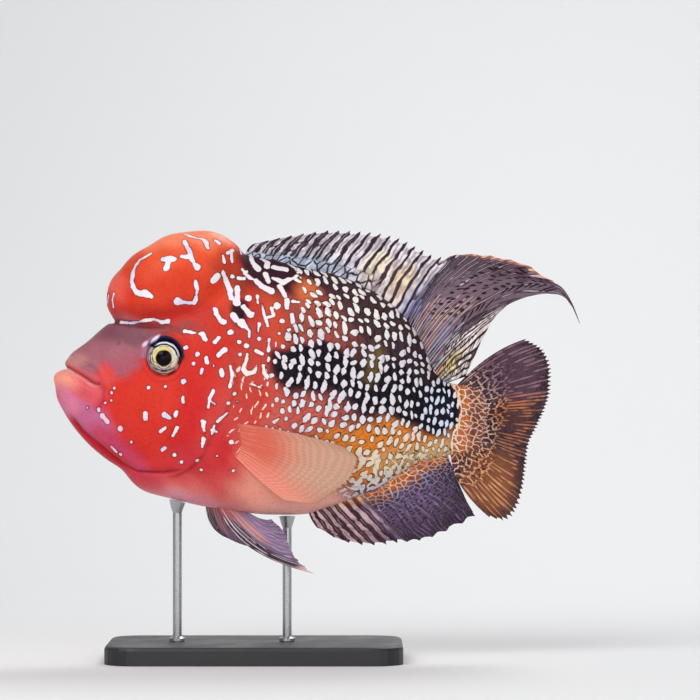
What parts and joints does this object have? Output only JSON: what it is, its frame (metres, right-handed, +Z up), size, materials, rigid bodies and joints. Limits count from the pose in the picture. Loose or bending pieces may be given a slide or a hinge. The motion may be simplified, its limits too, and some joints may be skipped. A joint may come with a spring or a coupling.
{
  "type": "flowerhorn cichlid",
  "caption": "Still life-size model of a flowerhorn cichlid with a large forehead hump, swimming, held by rods on a flat base.",
  "frame": {"origin": "centre of the underside of the stand's base, on the floor", "axes": "+X towards the tail fin, +Y towards the fish's right side, +Z up"},
  "size_m": [0.2312, 0.08, 0.1894],
  "materials": {
    "nuchal_hump": "wet gloss, scarlet with white strokes",
    "head": "wet gloss, scarlet with small white marks",
    "upper_jaw": "wet gloss, mauve to pink",
    "lower_jaw": "wet gloss, pink to crimson",
    "gill_cover": "wet gloss, scarlet with small white marks",
    "trunk": "satin scales, brown-black above and orange below, with white pearls",
    "tail_stalk": "satin scales, navy-black with blue-white pearls",
    "eye": "clear gloss over a gold iris and a black pupil",
    "fin": "satin, plum-grey rays and webs",
    "breast_fin": "satin, peach",
    "stand_base": "fine black powder coat",
    "stand_rod": "brushed"
  },
  "bodies": {
    "root": {"nuchal_hump": "nuchal_hump", "head": "head", "upper_jaw": "upper_jaw", "lower_jaw": "lower_jaw", "gill_cover_left": "gill_cover", "gill_cover_right": "gill_cover", "trunk": "trunk", "tail_stalk": "tail_stalk", "eye_left": "eye", "eye_right": "eye", "dorsal_fin": "fin", "anal_fin": "fin", "tail_fin": "fin", "pectoral_fin_left": "breast_fin", "pectoral_fin_right": "breast_fin", "pelvic_fin_left": "fin", "pelvic_fin_right": "fin", "stand_base": "stand_base", "stand_rod_front": "stand_rod", "stand_rod_rear": "stand_rod"}
  },
  "joints": []
}
